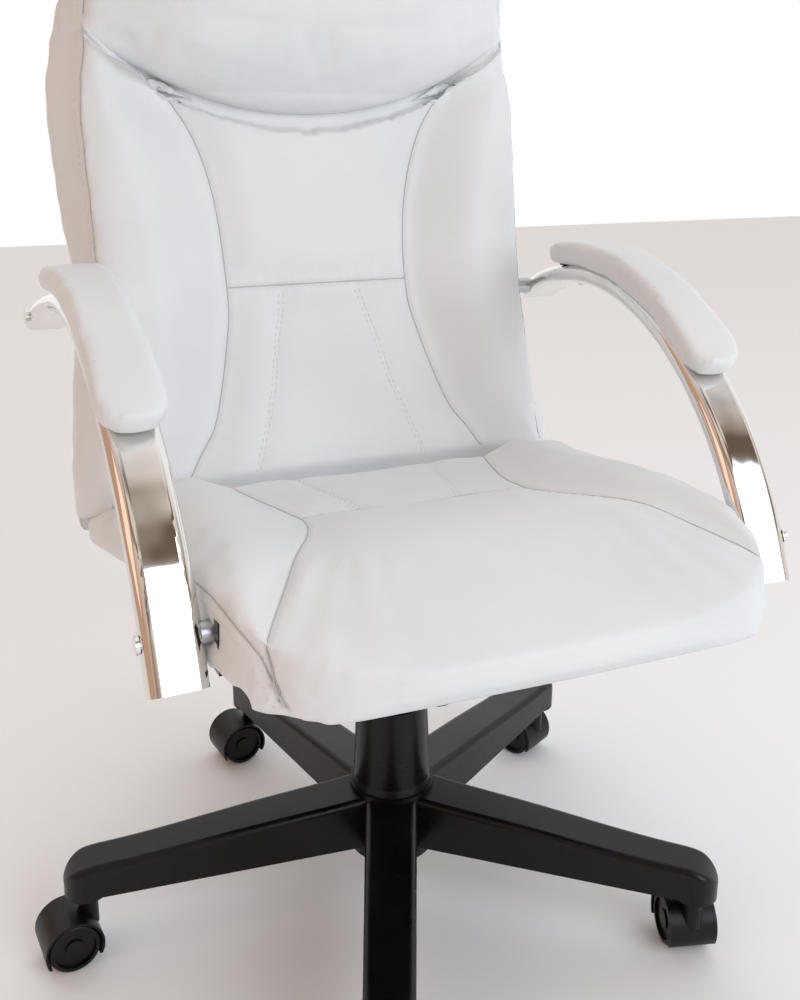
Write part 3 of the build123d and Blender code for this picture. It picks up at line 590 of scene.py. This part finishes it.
def widen(p):
    """The boxing's slope: narrow at the front seam and wide at the rear edge."""
    front = np.interp(p[:, 2], *BACK_FRONT)
    edge = ramp(np.abs(p[:, 0]), 0.205, 0.256) * (1 - ramp(p[:, 2], 0.90, 1.02))
    rear = 0.012 + 0.006 * (1 - ramp(p[:, 2], 0.40, 0.56)) - 0.012 * hump(p[:, 2], 0.615, 0.06)
    slope = ramp(p[:, 1] - front, 0.0, 0.065)
    p[:, 0] += np.sign(p[:, 0]) * edge * (-0.010 * (1 - slope) + rear * slope)


back = filled("back_upholstery", ["back_cushion", "rear_cover", "headrest_cushion"], CUSHION_VOXEL,
              EASING_PASSES, back_held, 4.0, 0.006)
p, n = points_of(back), points_of(back, "normal")
side, facing = np.abs(p[:, 0]), ramp(-n[:, 1], 0.1, 0.6)
seam_x = np.interp(p[:, 2], [0.44, 0.484, 0.525, 0.568, 0.624, 0.707, 0.791, 0.842],
                   [0.170, 0.137, 0.123, 0.112, 0.105, 0.110, 0.134, 0.160])
bolster = ramp(side, seam_x + 0.005, seam_x + 0.085)
above_foot = p[:, 2] - pillow_foot(side)
behind_pillow = np.interp(above_foot, [-0.020, -0.014, 0.004, 0.020], [0, 0.260, 0.262, 0.276])
p[:, 1] = np.where(p[:, 1] < 0.30, np.maximum(p[:, 1], behind_pillow), p[:, 1])
p[:, 0] *= 1 - 0.03 * ramp(above_foot, 0.004, 0.022) * (p[:, 1] < 0.30)
lift_by = np.interp(p[:, 2], [0.43, 0.50, 0.60, 0.70, 0.80, 0.88],
                    [-0.006, 0.006, 0.015, 0.016, 0.011, 0.004])
p[:, 1] += facing * (0.008 * (1 - bolster) - bolster * lift_by)
widen(p)
move_points(back, p)
back_seams = seam_line(BACK_PANEL_SEAM) + seam_line(BACK_CROSS_SEAM) + seam_line(BACK_LOWER_SEAM)
back_painted_shade_paths = sew(back, back_seams, dip=0.005, dip_w=0.024)
back_painted_shade_paths += sew(back, seam_line(BACK_BOXING_SEAM), **BOXING_SEWING)
sew(back, seam_line(BACK_TWIN_STITCH), **TWIN_SEWING)
dress(back, WHITE_LEATHERCLOTH)
# Painted shade: thin grey tubes laid along the bottoms of the back's front and boxing seams.
painted_shade_lines("back_seam_painted_shade", back_painted_shade_paths)
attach(back, "seat")
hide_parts("back_cushion", "rear_cover")
BACK_REAR_SEAM = [(0, 300, 392), (130, 300, 392), (205, 298, 400), (222, 300, 450), (224, 330, 640),
                  (224, 350, 820), (216, 355, 900), (190, 352, 1010), (130, 350, 1070), (0, 348, 1088)]
rear_seams = seam_line(BACK_REAR_SEAM)
# Painted shade: a thin grey tube laid along the bottom of the back's rear seam.
painted_shade_lines("back_rear_painted_shade", sew(back, rear_seams, dip=0.002, dip_w=0.012, fold=0.0012, pucker=0.0001))
stitches("back_stitching", back,
         twin_rows(BACK_TWIN_STITCH)
         + seam_line(beside(BACK_BOXING_SEAM[1:], (8, 12, 0))) + seam_line(beside(BACK_REAR_SEAM, (0, 6, 9))))


# ---------------------------------------------------------------- headrest
# A fuller pillow sewn across the top of the back, whose lower seam sags between its two ends.

def headrest_held(p):
    """The pillow's rear face is glued to the padding behind it."""
    return (p[:, 1] > 0.285) & (np.abs(p[:, 0]) < 0.22)


headrest = filled("headrest_upholstery", ["headrest_cushion"], CUSHION_VOXEL,
                  EASING_PASSES, headrest_held, 5.0, 0.008)
p = points_of(headrest)
shallow = 1 - ((p[:, 1] - 0.222) / 0.085).clip(0, 1)
above_seam = p[:, 2] - pillow_foot(np.abs(p[:, 0]))
rise = np.interp(above_seam, [0, 0.02, 0.05, 0.10, 0.20], [0.004, 0.018, 0.029, 0.037, 0.038])
full = 0.260 - rise * (1 - ramp(np.abs(p[:, 0]), 0.12, 0.25))
solid_front = np.interp(p[:, 2], [0.80, 0.83, 0.90, 0.99, 1.07, 1.105],
                        [0.262, 0.236, 0.222, 0.226, 0.258, 0.296])
p[:, 1] += shallow * np.maximum(0, full - solid_front)
widen(p)
move_points(headrest, p)
HEADREST_BOXING_SEAM = [(238, 262, 905), (234, 261, 935), (224, 262, 975), (203, 266, 1020), (168, 276, 1058),
                        (110, 288, 1086), (50, 294, 1098), (0, 296, 1101)]
headrest_seams = seam_line(HEADREST_BOXING_SEAM)
headrest_painted_shade_paths = sew(headrest, headrest_seams, **BOXING_SEWING)
# Painted shade: a thin grey tube laid along the bottom of the headrest's boxing seam.
painted_shade_lines("headrest_seam_painted_shade", headrest_painted_shade_paths)
stitches("headrest_stitching", headrest, seam_line(beside(HEADREST_BOXING_SEAM, (7, 11, 4))))
dress(headrest, WHITE_LEATHERCLOTH)
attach(headrest, "seat")
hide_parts("headrest_cushion")


# ---------------------------------------------------------------- arms
# Flat-oval steel tube, bent in one piece and chromed, bolted to steel angles inside the padding.
# Plastic plugs close its cut ends.

# Bright chrome plate on polished steel: near white, mirror-like, with faint polishing waves.
CHROME = finish("bright_chrome_plate", "#E9E7E4", Metallic=1.0, Roughness=0.05)
chrome_waves = add(CHROME, "TexNoise", {"Vector": add(CHROME, "TexCoord").outputs["Object"]},
                   Scale=1000 / 45, Detail=1.0)
chrome_relief = add(CHROME, "Bump", {"Height": chrome_waves.outputs["Fac"]}, Strength=0.25, Distance=0.002)
feed(CHROME, Normal=chrome_relief.outputs["Normal"])
cover_nodes(CHROME, "arm_tube_left", "arm_tube_right", "arm_bolts", "pad_screws")
cover_nodes(ZINC_STEEL, "arm_spacers")
cover_nodes(BLACK_STEEL, "arm_anchors")

# Polythene plugs: warm tan, waxy.
PLUG_PLASTIC = moulded("moulded_polythene_tan", "#A08A72", "#B39C82", 1.5, 0.05, 0.4, 0.55)
cover_nodes(PLUG_PLASTIC, "arm_end_plugs")


# ---------------------------------------------------------------- arm pads
# Foam strips in the same cover, pulled over a thin plastic base that is screwed on from below.

PAD_PLASTIC = moulded("moulded_pad_plastic", "#2A2624", "#35302D", 1.5, 0.05, 0.45, 0.6)
cover_nodes(PAD_PLASTIC, "arm_pad_base_left", "arm_pad_base_right")
PAD_VOXEL = 0.004
for hand in ("left", "right"):
    pad = filled(f"arm_pad_cover_{hand}", [f"arm_pad_{hand}"], PAD_VOXEL, EASING_PASSES,
                 lambda p: np.zeros(len(p), dtype=bool), 5.0, 0.002)
    dress(pad, WHITE_LEATHERCLOTH)
    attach(pad, "seat")
    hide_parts(f"arm_pad_{hand}")


# ---------------------------------------------------------------- floor, light and camera
# A pale matt floor, one broad soft light from the front, a weaker warm one, and a white sky that turns dimmer
# and warm towards the front and the left.

floor_mesh = bpy.data.meshes.new("studio_floor")
floor_mesh.from_pydata([(-6, -6, 0), (6, -6, 0), (6, 6, 0), (-6, 6, 0)], [], [(0, 1, 2, 3)])
studio_floor = bpy.data.objects.new("studio_floor", floor_mesh)
scene.collection.objects.link(studio_floor)
FLOOR_PAINT = finish("pale_floor_paint", "#F9FBFD", Roughness=0.9)
studio_floor.data.materials.append(FLOOR_PAINT)


def soft_light(name, place, target, size, power, colour):
    """Area light at a place, facing a target."""
    lamp = bpy.data.lights.new(name, "AREA")
    lamp.shape, lamp.size, lamp.size_y = "RECTANGLE", *size
    lamp.energy, lamp.color = power, linear(colour)[:3]
    stand = bpy.data.objects.new(name, lamp)
    stand.location = place
    stand.rotation_euler = (Vector(target) - Vector(place)).to_track_quat("-Z", "Y").to_euler()
    scene.collection.objects.link(stand)


soft_light("front_light", (1.3, -3.0, 1.9), (0, 0, 0.5), (2.4, 2.4), 60, "#EAF3FF")
soft_light("side_light", (-2.6, -0.6, 1.8), (0, 0, 0.5), (1.5, 1.5), 5, "#FFE3CE")

# White studio behind the chair; towards its front, a dimmer warm room that the chrome picks up.
sky = bpy.data.worlds.new("studio_sky")
sky.use_nodes = True
sky_way = add(sky, "SeparateXYZ", {"Vector": add(sky, "TexCoord").outputs["Generated"]})
sky_patches = add(sky, "TexNoise", {"Vector": add(sky, "TexCoord").outputs["Generated"]},
                  Scale=2.6, Detail=1.0)
sky_front = add(sky, "ValToRGB", {"Fac": sky_patches.outputs["Fac"]})
sky_front.color_ramp.elements[0].position, sky_front.color_ramp.elements[1].position = 0.42, 0.58
sky_front.color_ramp.elements[0].color = linear("#6E5C50")
sky_front.color_ramp.elements[1].color = linear("#E8DCD2")
sky_side = add(sky, "MapRange", {"Value": sky_way.outputs["Y"]}, From_Min=-0.35, From_Max=0.0)
sky_mix = add(sky, "Mix", {"Factor": sky_side.outputs["Result"]}, data_type="RGBA")
sky.node_tree.links.new(sky_front.outputs["Color"], sky_mix.inputs[6])
sky_mix.inputs[7].default_value = linear("#FFFFFF")
sky_left = add(sky, "MapRange", {"Value": sky_way.outputs["X"]}, From_Min=-0.25, From_Max=-0.8)
sky_warm = add(sky, "Mix", {"Factor": sky_left.outputs["Result"]}, data_type="RGBA")
sky.node_tree.links.new(sky_mix.outputs[2], sky_warm.inputs[6])
sky_warm.inputs[7].default_value = linear("#C79F86")
sky.node_tree.links.new(sky_warm.outputs[2], sky.node_tree.nodes["Background"].inputs["Color"])
sky.node_tree.nodes["Background"].inputs["Strength"].default_value = 1.0
scene.world = sky
scene.view_settings.view_transform = "Standard"

lens = bpy.data.cameras.new("camera")
lens.sensor_width, lens.lens = 36.0, 39.18
lens.shift_x, lens.shift_y = 0.0034, -0.1025
camera = bpy.data.objects.new("camera", lens)
camera.location = (-0.3706, -0.9368, 0.8142)
camera.rotation_euler = [math.radians(angle) for angle in (75.119, -0.258, -21.714)]
scene.collection.objects.link(camera)
scene.camera = camera
